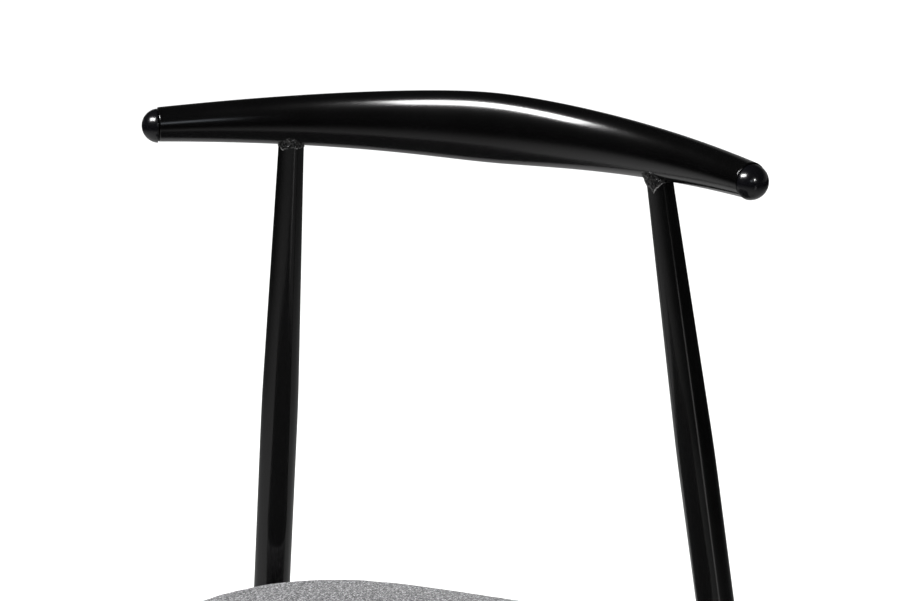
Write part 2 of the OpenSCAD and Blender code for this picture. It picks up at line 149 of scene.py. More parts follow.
# ---- Materials ----
class Nodes:
    """A small helper that adds shader nodes and links them by socket name."""

    def __init__(self, name):
        self.material = bpy.data.materials.new(name)
        self.material.use_nodes = True
        self.tree = self.material.node_tree
        self.shader = self.tree.nodes["Principled BSDF"]
        self.object_place = self.add("ShaderNodeTexCoord").outputs["Object"]

    def add(self, kind, **values):
        node = self.tree.nodes.new(kind)
        for key, value in values.items():
            setattr(node, key, value)
        return node

    def link(self, out, socket):
        self.tree.links.new(out, socket)

    def set(self, **values):
        for key, value in values.items():
            self.shader.inputs[key.replace("_", " ")].default_value = value

    def math(self, operation, a, b=None):
        """A sum on one or two values, each of them an output or a number."""
        node = self.add("ShaderNodeMath", operation=operation)
        for socket, value in zip(node.inputs, (a, b)):
            if isinstance(value, (int, float)):
                socket.default_value = value
            elif value is not None:
                self.link(value, socket)
        return node.outputs[0]

    def choose(self, share, a, b):
        """The number a where share is 0, and b where it is 1."""
        node = self.add("ShaderNodeMix", data_type="FLOAT")
        for socket, out in zip((node.inputs[0], node.inputs[2], node.inputs[3]), (share, a, b)):
            self.link(out, socket)
        return node.outputs[0]

    def attribute(self, name, output):
        """What a mesh attribute holds, read from its node's output of this name."""
        return self.add("ShaderNodeAttribute", attribute_name=name).outputs[output]

    def noise(self, scale, detail=3.0, rough=0.5, place=None, stretch=None):
        """Noise laid out in the object's metres, or by place, finer along an axis that stretch enlarges."""
        place = place or self.object_place
        if stretch:
            mapping = self.add("ShaderNodeMapping")
            mapping.inputs["Scale"].default_value = stretch
            self.link(place, mapping.inputs["Vector"])
            place = mapping.outputs["Vector"]
        node = self.add("ShaderNodeTexNoise")
        node.inputs["Scale"].default_value = scale
        node.inputs["Detail"].default_value = detail
        node.inputs["Roughness"].default_value = rough
        self.link(place, node.inputs["Vector"])
        return node.outputs["Fac"]

    def remap(self, value, low, high, to_low, to_high):
        """The value carried from one range to another, and held at its ends."""
        node = self.add("ShaderNodeMapRange", clamp=True)
        self.link(value, node.inputs["Value"])
        for name, number in zip(("From Min", "From Max", "To Min", "To Max"), (low, high, to_low, to_high)):
            node.inputs[name].default_value = number
        return node.outputs["Result"]

    def ramp(self, value, stops):
        """A colour read off a ramp of (place, colour) stops."""
        node = self.add("ShaderNodeValToRGB")
        elements = node.color_ramp.elements
        while len(elements) < len(stops):
            elements.new(0.5)
        for element, (place, colour) in zip(elements, stops):
            element.position = place
            element.color = (*colour, 1)
        self.link(value, node.inputs["Fac"])
        return node.outputs["Color"]

    def mix(self, factor, a, b, blend="MIX"):
        """Two colours mixed. Each argument is an output or a plain value."""
        node = self.add("ShaderNodeMix", data_type="RGBA", blend_type=blend)
        for socket, value in zip((node.inputs[0], node.inputs[6], node.inputs[7]), (factor, a, b)):
            if isinstance(value, bpy.types.NodeSocket):
                self.link(value, socket)
            else:
                socket.default_value = value if isinstance(value, float) else (*value, 1)
        return node.outputs[2]

    def bump(self, height, distance, strength=1.0, after=None):
        """A normal tilted by a height that is distance tall, on top of the bump given as after."""
        node = self.add("ShaderNodeBump")
        node.inputs["Strength"].default_value = strength
        node.inputs["Distance"].default_value = distance
        self.link(height, node.inputs["Height"])
        if after:
            self.link(after, node.inputs["Normal"])
        return node.outputs["Normal"]

    def colour(self, out):
        self.link(out, self.shader.inputs["Base Color"])

    def rough(self, out):
        self.link(out, self.shader.inputs["Roughness"])

    def normal(self, out):
        self.link(out, self.shader.inputs["Normal"])


def powder_coat():
    """Semi-gloss black powder coat: a faint orange peel, fine dust and slightly uneven gloss."""
    n = Nodes("black_powder_coat")
    n.set(Specular_IOR_Level=0.5, IOR=1.5)
    haze, dust, peel = n.noise(14, 4), n.noise(900, 2), 0.2
    n.colour(n.ramp(haze, [(0.3, (0.0004, 0.0004, 0.0004)), (0.75, (0.0008, 0.0008, 0.0009))]))
    n.rough(n.math("ADD", n.remap(haze, 0.3, 0.7, 0.14, 0.18), n.remap(dust, 0.55, 0.75, 0.0, 0.03)))
    coarse = n.bump(n.noise(420, 2), 0.02 * MM, peel)
    n.normal(n.bump(n.noise(1500, 2), 0.006 * MM, peel, after=coarse))
    return n.material


def weld_metal():
    """Powder coat over weld metal: dark pits, grey ripples, and a pale painted highlight along the edge where
    the point attribute from make_rail_welds is 1.
    """
    n = Nodes("coated_weld")
    pits = n.ramp(n.noise(520, 3, 0.6), [
        (0.42, (0.0004, 0.0004, 0.0004)), (0.52, (0.004, 0.004, 0.004)), (0.68, (0.022, 0.0215, 0.021))])
    # The pale colour mixed in by that attribute is a painted highlight.
    n.colour(n.mix(n.attribute("painted_toe_highlight", "Fac"), pits, (0.15, 0.148, 0.146)))
    n.rough(n.remap(n.noise(800, 3), 0.3, 0.7, 0.16, 0.34))
    n.normal(n.bump(n.noise(1100, 4, 0.6), 0.12 * MM, 0.6))
    return n.material


def moulded_plastic(name, colour, rough, grain, spread):
    """Moulded plastic with a fine grain. Its roughness wanders by spread."""
    n = Nodes(name)
    n.set(IOR=1.49)
    tint = n.noise(60, 3)
    dark = tuple(c * 0.8 for c in colour)
    n.colour(n.ramp(tint, [(0.35, dark), (0.7, colour)]))
    n.rough(n.remap(n.noise(220, 3), 0.3, 0.7, rough, rough + spread))
    n.normal(n.bump(n.noise(1400, 3), grain, 0.5))
    return n.material


def plated_steel(name, colour, rough):
    """Zinc-plated steel, with fine drawn lines and cloudy plating."""
    n = Nodes(name)
    n.set(Metallic=1.0)
    cloud = n.noise(300, 4)
    n.colour(n.ramp(cloud, [(0.3, tuple(c * 0.75 for c in colour)), (0.7, colour)]))
    n.rough(n.remap(cloud, 0.3, 0.7, rough, rough + 0.15))
    n.normal(n.bump(n.noise(500, 2, stretch=(1, 1, 9)), 0.02 * MM, 0.5))
    return n.material


def plywood():
    """Birch plywood: pale face grain, and layers at the edge."""
    n = Nodes("birch_plywood")
    grain = n.noise(18, 5, stretch=(1, 12, 1))
    face = n.ramp(grain, [(0.3, (0.42, 0.28, 0.15)), (0.7, (0.66, 0.5, 0.31))])
    split = n.add("ShaderNodeSeparateXYZ")
    n.link(n.object_place, split.inputs[0])
    ply = n.math("SINE", n.math("MULTIPLY", split.outputs["Z"], 2 * math.pi / PLY))
    n.colour(n.mix(n.remap(ply, -0.2, 0.2, 0.0, 0.35), face, (0.3, 0.18, 0.09)))
    n.set(Roughness=0.65)
    n.normal(n.bump(grain, 0.1 * MM, 0.5))
    return n.material


def wandering_place(n):
    """Where a point lay on the flat cloth, shifted a little so that the yarns aren't quite straight."""
    cloth = n.attribute("cloth", "Vector")
    wander = n.add("ShaderNodeTexNoise")
    wander.inputs["Scale"].default_value = 160
    wander.inputs["Detail"].default_value = 2
    n.link(cloth, wander.inputs["Vector"])
    centred = n.add("ShaderNodeVectorMath", operation="SUBTRACT")
    n.link(wander.outputs["Color"], centred.inputs[0])
    centred.inputs[1].default_value = (0.5, 0.5, 0.5)
    offset = n.add("ShaderNodeVectorMath", operation="SCALE")
    n.link(centred.outputs[0], offset.inputs[0])
    offset.inputs["Scale"].default_value = 0.7 * MM
    place = n.add("ShaderNodeVectorMath", operation="ADD")
    n.link(cloth, place.inputs[0])
    n.link(offset.outputs[0], place.inputs[1])
    return place.outputs[0]


def across_yarns(n, out):
    """The yarn's number along one direction, and the dome of its section."""
    scaled = n.math("DIVIDE", out, YARN)
    centre = n.math("SUBTRACT", n.math("MULTIPLY", n.math("FRACT", scaled), 2.0), 1.0)
    return n.math("FLOOR", scaled), n.math("SUBTRACT", 1.0, n.math("MULTIPLY", centre, centre))


def crossing_height(n, narrow, wide):
    """The height of a yarn where it lies on top, from its own dome and the other yarn's."""
    return n.math("MULTIPLY", n.math("POWER", narrow, 0.7), n.math("POWER", wide, 0.35))


def yarn_shade(n, place, number, stretch, seed):
    """The heather tone of a yarn: its own shade, and flecks along its length."""
    own, flecked = 0.14, 0.86
    random = n.add("ShaderNodeTexWhiteNoise", noise_dimensions="1D")
    n.link(n.math("ADD", number, seed), random.inputs["W"])
    flecks = n.remap(n.noise(960, 1, 0.5, place=place, stretch=stretch), 0.4, 0.6, 0.0, 1.0)
    return n.math("ADD", n.math("MULTIPLY", random.outputs["Value"], own),
                  n.math("MULTIPLY", flecks, flecked))


def woven_fabric():
    """Plain weave of heather yarns, laid out by "cloth", in metres along the warp and the weft. Painted shade
    darkens the colour where the yarns dip.
    """
    n = Nodes("heather_grey_weave")
    place = wandering_place(n)
    split = n.add("ShaderNodeSeparateXYZ")
    n.link(place, split.inputs[0])
    warp_number, warp_dome = across_yarns(n, split.outputs["X"])
    weft_number, weft_dome = across_yarns(n, split.outputs["Y"])
    parity = n.math("PINGPONG", n.math("ADD", warp_number, weft_number), 1.0)
    warp_on_top = n.remap(parity, 0.4, 0.6, 0.0, 1.0)
    height = n.choose(warp_on_top, crossing_height(n, weft_dome, warp_dome),
                      crossing_height(n, warp_dome, weft_dome))
    shade = n.choose(warp_on_top, yarn_shade(n, place, weft_number, (0.22, 1.0, 1.0), 91.3),
                     yarn_shade(n, place, warp_number, (1.0, 0.22, 1.0), 3.7))
    tone = n.ramp(shade, [
        (0.1, (0.003, 0.003, 0.004)), (0.45, (0.03, 0.03, 0.034)),
        (0.68, (0.107, 0.107, 0.113)), (0.95, (0.42, 0.42, 0.431))])
    # Painted shade: the colour is darkened where a yarn lies low, in the gaps between and under the crossing
    # yarns.
    depth = n.remap(height, 0.0, 0.75, 0.25, 1.0)
    gap = n.add("ShaderNodeCombineColor")
    for socket in gap.inputs:
        n.link(depth, socket)
    n.colour(n.mix(1.0, tone, gap.outputs[0], "MULTIPLY"))
    fuzz = n.math("MULTIPLY", n.noise(2600, 2), 0.35)
    n.set(Roughness=0.92, Sheen_Weight=0.2, Sheen_Roughness=0.45, Specular_IOR_Level=0.25)
    n.normal(n.bump(n.math("ADD", height, fuzz), 0.55 * MM, 0.8))
    return n.material


def spun_cloth():
    """Black spun-bonded dust cloth, pressed with small diamonds."""
    n = Nodes("black_dust_cloth")
    dots = n.add("ShaderNodeTexVoronoi", feature="F1")
    dots.inputs["Scale"].default_value = 420
    dots.inputs["Randomness"].default_value = 0.25
    n.link(n.object_place, dots.inputs["Vector"])
    pressed = n.remap(dots.outputs["Distance"], 0.15, 0.4, 0.0, 1.0)
    fibre = n.noise(700, 5, 0.7)
    n.colour(n.mix(n.math("MULTIPLY", pressed, fibre), (0.012, 0.012, 0.013), (0.05, 0.05, 0.052)))
    n.set(Roughness=0.85, Sheen_Weight=0.2, Specular_IOR_Level=0.3)
    n.normal(n.bump(n.math("ADD", pressed, fibre), 0.12 * MM, 0.7))
    return n.material


black_steel = powder_coat()
weld_coat = weld_metal()
gloss_cap = moulded_plastic("gloss_black_plastic", (0.0012, 0.0012, 0.0018), 0.17, 0.02 * MM, 0.05)
matte_plastic = moulded_plastic("matte_black_plastic", (0.015, 0.015, 0.0155), 0.46, 0.05 * MM, 0.12)
fabric = woven_fabric()
dust_cloth = spun_cloth()
zinc = plated_steel("bright_zinc", (0.62, 0.62, 0.6), 0.25)
black_zinc = plated_steel("black_zinc", (0.09, 0.09, 0.095), 0.3)


# ---- Back rail ----
def rail_taper(u):
    """How swollen the rail is at u, which runs from -1 to 1 along it: 1 in the middle, 0 at the ends."""
    peak = math.sqrt(1 + RAIL_PEAK ** 2) - RAIL_PEAK
    return 1 - (math.sqrt(u * u + RAIL_PEAK ** 2) - RAIL_PEAK) / peak


def rail_centre(u):
    """The rail's axis, a parabola seen from above that droops a little at its ends."""
    return RAIL_MIDDLE + Vector((RAIL_HALF * u, -RAIL_BOW * u * u, -RAIL_DROOP * u * u))


def rail_heading(u):
    return math.atan2(-2 * RAIL_BOW * u, RAIL_HALF)


def rail_half_size(u, mid):
    """Half the rail's depth or height at u, for a rail whose full size in the middle is mid."""
    return RAIL_END_R + (mid / 2 - RAIL_END_R) * rail_taper(u)


def rail_ring(u, inset=0.0, shift=0.0, sides=112):
    """One ring of the rail. shift moves it along the rail, which rounds the rim."""
    heading = rail_heading(u)
    along = Vector((math.cos(heading), math.sin(heading), 0))
    level = Vector((-math.sin(heading), math.cos(heading), 0))
    across = rail_half_size(u, RAIL_MID_DEPTH) - inset
    upright = rail_half_size(u, RAIL_MID_HEIGHT) - inset
    centre = rail_centre(u) + along * shift
    turns = [2 * math.pi * k / sides for k in range(sides)]
    return [centre + level * across * math.cos(t) + Vector((0, 0, upright * math.sin(t))) for t in turns]


def make_back_rail():
    """The swaged tube, with rounded rims and its bore open for the caps' stems."""
    rim, count, bore_count = 0.9 * MM, 180, 60
    outside = [rail_ring(-1 + 2 * i / count) for i in range(count + 1)]
    lip = [(0.0, 0.3), (0.08, 0.7), (0.3, 0.95), (0.65, RIM_REACH / rim), (1.2, RIM_REACH / rim),
           (TUBE_WALL / rim - 0.1, 0.9), (TUBE_WALL / rim, 0.6)]
    right_lip = [rail_ring(1, rim * inset, rim * reach) for inset, reach in lip]
    left_lip = [rail_ring(-1, rim * inset, -rim * reach) for inset, reach in reversed(lip)]
    bore = [rail_ring(u, TUBE_WALL) for u in np.linspace(0.94, -0.94, bore_count)]
    verts, faces = join_rings(outside + right_lip + bore + left_lip, loop=True)
    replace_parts(new_piece("back_rail_tube", verts, faces, black_steel), "back_rail")


def make_end_cap(side):
    """A glossy dome with a sharp back edge, and a narrow neck that leaves a groove at the tube's rim."""
    low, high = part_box("end_cap_right")
    radius = (high.z - low.z) / 2
    heading = rail_heading(1)
    axis = Vector((side * math.cos(heading), math.sin(heading), 0))
    centre = rail_centre(side)
    centre.z = (low.z + high.z) / 2
    middle, groove, neck, stem = CAP_MIDDLE, 0.55 * MM, radius - 2.3 * MM, 8.6 * MM
    back = RIM_REACH + groove
    rim_radius = math.sqrt(radius ** 2 - (back - middle) ** 2)
    profile = [(-CAP_STEM, 0), (-CAP_STEM, stem - 0.2 * MM), (-0.1 * MM, stem), (0.2 * MM, neck),
               (back, neck), (back, rim_radius - 0.45 * MM), (back + 0.08 * MM, rim_radius - 0.12 * MM)]
    steps = 30
    start = math.asin((back + 0.35 * MM - middle) / radius)
    for i in range(steps + 1):
        t = start + (math.pi / 2 - start) * i / steps
        profile.append((middle + radius * math.sin(t), radius * math.cos(t)))
    verts, faces = join_rings(lathe(profile, centre, axis), caps=False)
    name = "left" if side == LEFT else "right"
    piece = new_piece("end_cap_dome_" + name, verts, faces, gloss_cap)
    merge_close(piece)
    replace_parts(piece, "end_cap_" + name)


def merge_close(piece):
    """Closes the points of a turned shape that meet on its axis."""
    bm = bmesh.new()
    bm.from_mesh(piece.data)
    bmesh.ops.remove_doubles(bm, verts=bm.verts, dist=0.005 * MM)
    bmesh.ops.recalc_face_normals(bm, faces=bm.faces)
    bm.to_mesh(piece.data)
    bm.free()
    shade_smooth(piece.data)


# ---- Legs ----
REAR_SPLAY = Vector((0.111, 0.1036, -1))
rear_u = LEG_TOP_X / RAIL_HALF
rear_top = rail_centre(rear_u) - Vector((0, 0, rail_half_size(rear_u, RAIL_MID_HEIGHT)))
rear_ground = rear_top + REAR_SPLAY * rear_top.z
frame_low, frame_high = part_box("seat_rail_front")
frame_z = (frame_low.z + frame_high.z) / 2
front_knee = Vector((FRONT_LEG_X, (frame_low.y + frame_high.y) / 2, frame_z))
FRONT_SPLAY = Vector((0.085, -(rear_ground.y + front_knee.y) / frame_z, -1))


def mirrored(v, side):
    return Vector((side * v.x, v.y, v.z))


def rear_at(z, side=RIGHT):
    return mirrored(rear_top + REAR_SPLAY * (rear_top.z - z), side)


def front_at(z, side=RIGHT):
    return mirrored(front_knee + FRONT_SPLAY * (frame_z - z), side)


def smooth_radius(stations, s):
    """Radius at s on a chain of straight tapers, rounded where two tapers meet."""
    blend = 16 * MM
    samples = [s + blend * (i / 4 - 1) for i in range(9)]
    places = [p for p, _ in stations]
    radii = [r for _, r in stations]
    return float(np.mean(np.interp(samples, places, radii)))


def leg_tube(name, ground, up, stations, length, node):
    """A swaged tube with a rounded foot rim. It runs a little way into what it is welded to."""
    axis = (up - ground).normalized()
    foot, bore_depth, bore_r, rows = FOOT_HEIGHT, 9 * MM, LEG_FOOT_R - TUBE_WALL, 150
    profile = [(foot + bore_depth, bore_r), (foot + 0.5 * MM, bore_r),
               (foot, bore_r + 0.4 * MM), (foot, LEG_FOOT_R - 0.5 * MM),
               (foot + 0.15 * MM, LEG_FOOT_R - 0.15 * MM)]
    for i in range(rows + 1):
        s = foot + 0.5 * MM + (length - foot - 0.5 * MM) * i / rows
        profile.append((s, smooth_radius(stations, s)))
    verts, faces = join_rings(lathe(profile, ground, axis), caps=True)
    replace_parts(new_piece(name, verts, faces, black_steel), node)


def make_legs():
    """All four legs. A length along a leg is its height times the splay's stretch."""
    rear_stretch, front_stretch, into_rail = REAR_SPLAY.length, FRONT_SPLAY.length, 9 * MM
    foot_end = [(0, LEG_FOOT_R), (FOOT_HEIGHT, LEG_FOOT_R)]
    rear_stations = foot_end + [
        (LEG_FOOT_TAPER_Z * rear_stretch, LEG_R), ((rear_top.z - LEG_TOP_TAPER) * rear_stretch, LEG_R),
        (rear_top.z * rear_stretch, LEG_TOP_R)]
    front_stations = foot_end + [(LEG_FOOT_TAPER_Z * front_stretch, LEG_R)]
    front_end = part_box("front_leg_right")[1].z - 2 * MM
    for side, word in ((LEFT, "left"), (RIGHT, "right")):
        leg_tube("rear_leg_tube_" + word, rear_at(0, side), rear_at(rear_top.z, side), rear_stations,
                 rear_top.z * rear_stretch + into_rail, "rear_leg_" + word)
        leg_tube("front_leg_tube_" + word, front_at(0, side), front_at(frame_z, side), front_stations,
                 front_end * front_stretch, "front_leg_" + word)


# ---- Seat frame ----
def frame_rail(name, a, b, node):
    """A round rail from one leg's axis to another's. Its ends run into the legs."""
    start = 6 * MM
    rows = 24
    span = (b - a).length
    profile = [(start + (span - 2 * start) * i / rows, FRAME_RAIL_R) for i in range(rows + 1)]
    verts, faces = join_rings(lathe(profile, a, b - a, 64))
    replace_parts(new_piece(name, verts, faces, black_steel), node)


def make_seat_frame():
    """The four rails. Returns the points where their axes meet the front and the rear legs' axes."""
    front = {side: front_at(frame_z, side) for side in (LEFT, RIGHT)}
    rear = {side: rear_at(frame_z, side) for side in (LEFT, RIGHT)}
    frame_rail("frame_tube_front", front[LEFT], front[RIGHT], "seat_rail_front")
    frame_rail("frame_tube_rear", rear[LEFT], rear[RIGHT], "seat_rail_rear")
    frame_rail("frame_tube_left", front[LEFT], rear[LEFT], "seat_rail_left")
    frame_rail("frame_tube_right", front[RIGHT], rear[RIGHT], "seat_rail_right")
    return front, rear


# ---- Welds ----
SEAM_REACH = 9 * MM
SEAM_HALVINGS = 24


def rail_distance(p):
    """Below 0 inside the back rail and above 0 outside it, growing with distance."""
    u = p.x / RAIL_HALF
    for _ in range(3):
        heading = rail_heading(u)
        along = Vector((math.cos(heading), math.sin(heading), 0))
        u += (p - rail_centre(u)).dot(along) * math.cos(heading) / RAIL_HALF
    heading = rail_heading(u)
    level = Vector((-math.sin(heading), math.cos(heading), 0))
    d = p - rail_centre(u)
    across, upright = rail_half_size(u, RAIL_MID_DEPTH), rail_half_size(u, RAIL_MID_HEIGHT)
    return (math.hypot(d.dot(level) / across, d.z / upright) - 1) * across


def rod_distance(origin, axis, radius):
    """The same measure for a straight round tube."""
    axis = axis.normalized()

    def measure(p):
        d = p - origin
        return (d - axis * d.dot(axis)).length - radius
    return measure


def gradient(measure, p):
    step = 0.02 * MM
    steps = [Vector((step, 0, 0)), Vector((0, step, 0)), Vector((0, 0, step))]
    return Vector([measure(p + d) - measure(p - d) for d in steps]).normalized()


def seam_round(origin, axis, radius, far, count):
    """Round a tube: the way out, and the point there that lies on the surface whose distance is far."""
    e1, e2 = frame_of(axis)
    seam = []
    for k in range(count):
        t = 2 * math.pi * k / count
        out = e1 * math.cos(t) + e2 * math.sin(t)
        base = origin + out * radius
        near, inside = -SEAM_REACH, SEAM_REACH
        for _ in range(SEAM_HALVINGS):
            middle = (near + inside) / 2
            near, inside = (middle, inside) if far(base + axis * middle) > 0 else (near, middle)
        seam.append((out, base + axis * near))
    return seam


def weld_bead(origin, axis, radius, far, seed):
    """Rings of a rippled bead round a tube, where it meets the surface whose distance is far."""
    count, sides, size, ripple = 150, 14, 2.1 * MM, 1.7 * MM
    seam = seam_round(origin, axis.normalized(), radius, far, count)
    turns = [2 * math.pi * j / sides for j in range(sides)]
    rings = []
    travel = 0.0
    for k, (out, p) in enumerate(seam):
        ahead = seam[(k + 1) % count][1]
        tangent = (ahead - seam[k - 1][1]).normalized()
        middle = (out + gradient(far, p)).normalized()
        middle = (middle - tangent * middle.dot(tangent)).normalized()
        side = tangent.cross(middle).normalized()
        scallop = abs(math.sin(math.pi * travel / ripple)) ** 0.6
        lump = noise.noise(p * 420 + Vector((seed, 0, 0)))
        wide = size * (0.92 + 0.16 * scallop + 0.22 * lump)
        tall = wide * (0.62 + 0.05 * scallop)
        rings.append([p + middle * tall * math.cos(a) + side * wide * math.sin(a) for a in turns])
        travel += (ahead - p).length
    return rings


# How far each skirt hangs down its leg and climbs the rail, in mm, by azimuth in degrees
SKIRT_LOW = {
    LEFT: [(-157, 6.5), (-110, 0.9), (-65, 0.7), (-34, 2.2), (-13, 6.7), (10, 7.4), (28, 7.3), (50, 6.0),
           (66, 4.2), (85, 2.0), (110, 0.7), (150, 4.5)],
    RIGHT: [(-157, 4.5), (-113, 4.5), (-90, 5.5), (-66, 6.2), (-46, 8.1), (-24, 11.0), (-9, 13.4), (4, 9.6),
            (33, 2.6), (50, 1.0), (110, 0.7), (150, 6.0)]}
SKIRT_HIGH = {
    LEFT: [(-180, 0.8), (-30, 0.4), (25, 0.3), (80, 0.4)],
    RIGHT: [(-150, 1.2), (-105, 3.2), (-66, 3.4), (-40, 0.8), (-15, 0.2), (60, 0.2), (150, 0.8)]}


def by_azimuth(table, azimuth):
    places, sizes = zip(*table)
    return float(np.interp(azimuth, places, sizes, period=360)) * MM


def skirt_section(out, meet, axis, far, low, high):
    """One section of a skirt: from low down the leg to high up the rail, with a rippled face."""
    steps, ripple_size = 26, 0.62 * MM
    up = gradient(far, meet)
    away = (out + up).normalized()
    climb = (out - up * out.dot(up)).normalized()
    top = meet + climb * high
    top = top - up * far(top)
    foot = meet - axis * low
    start, end = foot + axis * 0.3 * MM + out * 0.5 * MM, top + up * 0.05 * MM
    bend = meet + (out + up) * (0.12 * high + 0.15 * MM) - axis * (0.3 * low)
    ring = [foot - out * 0.3 * MM]
    for i in range(steps):
        v = i / (steps - 1)
        p = start * (1 - v) ** 2 + bend * (2 * v * (1 - v)) + end * v * v
        ripple = noise.noise(p * 620) + 0.8 * noise.noise(p * 1400)
        fade = min(1.0, 4 * v + 0.3, 4 * (1 - v))
        ring.append(p + away * (ripple_size * fade * ripple))
    return ring + [top - up * 0.4 * MM, meet - away * 1.0 * MM]


def weld_skirt(origin, axis, radius, far, side):
    """Rings of the ragged fillet round a rear leg's top, and how strong the painted highlight on each ring's
    lower edge is.
    """
    axis = axis.normalized()
    steep_drop = 1.8 * MM
    rings, painted_edge_highlight = [], []
    for out, meet in seam_round(origin, axis, radius, far, 240):
        azimuth = math.degrees(math.atan2(out.x, -out.y))
        rag = noise.noise(out * 7 + Vector((side * 7.0, 0, 0)))
        low = by_azimuth(SKIRT_LOW[side], azimuth) * (1 + 0.14 * rag)
        high = by_azimuth(SKIRT_HIGH[side], azimuth)
        drop = by_azimuth(SKIRT_LOW[side], azimuth + 6) - by_azimuth(SKIRT_LOW[side], azimuth - 6)
        open_side = 0.25 if side == RIGHT and drop > 0 else 1.0
        # Painted highlight on the lower edge: strongest where the skirt's drop is steep, and weaker on one
        # flank of the right skirt.
        painted_edge_highlight.append(open_side * min(1.0, abs(drop) / steep_drop) * (0.7 + 0.6 * rag))
        rings.append(skirt_section(out, meet, axis, far, low, high))
    return rings, painted_edge_highlight


def joined_beads(name, beads, node):
    """One piece made of several closed beads, each given as its rings."""
    verts, faces = [], []
    for rings in beads:
        v, f = join_rings(rings, loop=True)
        faces += [tuple(i + len(verts) for i in face) for face in f]
        verts += v
    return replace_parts(new_piece(name, verts, faces, weld_coat), node)


def make_rail_welds():
    """The skirts under the back rail. Their point attribute is 1 where a pale painted highlight lies on a
    skirt's lower edge.
    """
    edge = (0.2, 0.9, 1.0, 0.25)
    skirts, painted_toe_highlight = [], []
    for side in (LEFT, RIGHT):
        top, up = rear_at(rear_top.z, side), mirrored(-REAR_SPLAY, side)
        rings, painted_edge_highlight = weld_skirt(top, up, LEG_TOP_R, rail_distance, side)
        skirts.append(rings)
        for ring, share in zip(rings, painted_edge_highlight):
            painted_toe_highlight += [share * e for e in edge] + [0.0] * (len(ring) - len(edge))
    piece = joined_beads("rail_weld_skirts", skirts, "back_rail_welds")
    piece.data.attributes.new("painted_toe_highlight", "FLOAT", "POINT").data.foreach_set("value", painted_toe_highlight)


def make_frame_welds(front, rear):
    """A bead round each end of the seat frame's rails, where it meets a leg."""
    corners = [(front, rear, front_at, RIGHT), (front, rear, front_at, LEFT),
               (rear, front, rear_at, RIGHT), (rear, front, rear_at, LEFT)]
    beads = []
    for number, (knees, others, at, side) in enumerate(corners):
        knee = knees[side]
        leg = rod_distance(knee, at(0, side) - knee, LEG_R)
        for way in (knees[-side] - knee, others[side] - knee):
            start = knee + way.normalized() * LEG_R
            beads.append(weld_bead(start, -way, FRAME_RAIL_R, leg, 5.0 * number))
    joined_beads("frame_weld_beads", beads, "seat_frame_welds")


# ---- Feet and brackets ----
def make_foot(name, ground, up, node):
    """A turned glide with a rounded edge, cut level with the floor."""
    low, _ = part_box(node)
    axis = (up - ground).normalized()
    radius, stem_r, stem, rim_round = LEG_FOOT_R + 0.6 * MM, LEG_FOOT_R - TUBE_WALL, 12 * MM, 0.5 * MM
    profile = [(-3 * MM, radius), (FOOT_HEIGHT * 0.55, radius), (FOOT_HEIGHT - 0.9 * MM, radius - 0.1 * MM),
               (FOOT_HEIGHT - 0.2 * MM, radius - 0.55 * MM), (FOOT_HEIGHT, radius - 1.1 * MM),
               (FOOT_HEIGHT, stem_r - 0.2 * MM), (FOOT_HEIGHT + stem, stem_r - 0.4 * MM)]
    verts, faces = join_rings(lathe(profile, ground, axis, 72))
    piece = new_piece(name, verts, faces, matte_plastic)
    bm = bmesh.new()
    bm.from_mesh(piece.data)
    everything = bm.verts[:] + bm.edges[:] + bm.faces[:]
    floor = {"plane_co": (0, 0, low.z), "plane_no": (0, 0, -1), "clear_outer": True}
    cut = bmesh.ops.bisect_plane(bm, geom=everything, **floor)
    rim = [e for e in cut["geom_cut"] if isinstance(e, bmesh.types.BMEdge)]
    bmesh.ops.contextual_create(bm, geom=rim)
    rim = [e for e in bm.edges if all(abs(v.co.z - low.z) < 1e-6 for v in e.verts)]
    bmesh.ops.bevel(bm, geom=rim, offset=rim_round, segments=3, profile=0.5, affect="EDGES")
    bmesh.ops.recalc_face_normals(bm, faces=bm.faces)
    bm.to_mesh(piece.data)
    bm.free()
    shade_smooth(piece.data)
    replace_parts(piece, node)


def make_feet():
    for side, word in ((LEFT, "left"), (RIGHT, "right")):
        make_foot("glide_rear_" + word, rear_at(0, side), rear_at(frame_z, side), "foot_rear_" + word)
        make_foot("glide_front_" + word, front_at(0, side), front_at(frame_z, side), "foot_front_" + word)


# ---- Seat pad ----
PAD_ROUND = 25 * MM  # how wide its rounded upper edge is, seen from above
PAD_CROWN = 6 * MM  # how far its middle rises above that edge
SWELL_CAP = 5 * MM  # the furthest that the simulation moves a point
SWELL_PRESSURE = 0.6
SWELL_FRAMES = 20
CROWN_RISE = 3 * MM  # how far the swelled middle stands above the CAD model's


def hull_of(node):
    """The convex hull of a node as a bmesh. The pad's outside is convex all round."""
    bm = bmesh.new()
    for v in nodes[node].data.vertices:
        bm.verts.new(v.co)
    result = bmesh.ops.convex_hull(bm, input=bm.verts)
    spare = [v for v in result["geom_interior"] + result["geom_unused"] if isinstance(v, bmesh.types.BMVert)]
    bmesh.ops.delete(bm, geom=list(set(spare)), context="VERTS")
    bmesh.ops.recalc_face_normals(bm, faces=bm.faces)
    return bm


def apply_modifiers(piece):
    """Turns what the modifiers make of a piece into its own mesh."""
    bpy.context.view_layer.update()
    shown = piece.evaluated_get(bpy.context.evaluated_depsgraph_get())
    mesh = bpy.data.meshes.new_from_object(shown)
    piece.modifiers.clear()
    piece.data = mesh


def coordinates(mesh):
    points = np.empty(len(mesh.vertices) * 3)
    mesh.vertices.foreach_get("co", points)
    return points.reshape(-1, 3)


def set_coordinates(mesh, points):
    mesh.vertices.foreach_set("co", np.asarray(points, float).ravel())
    mesh.update()


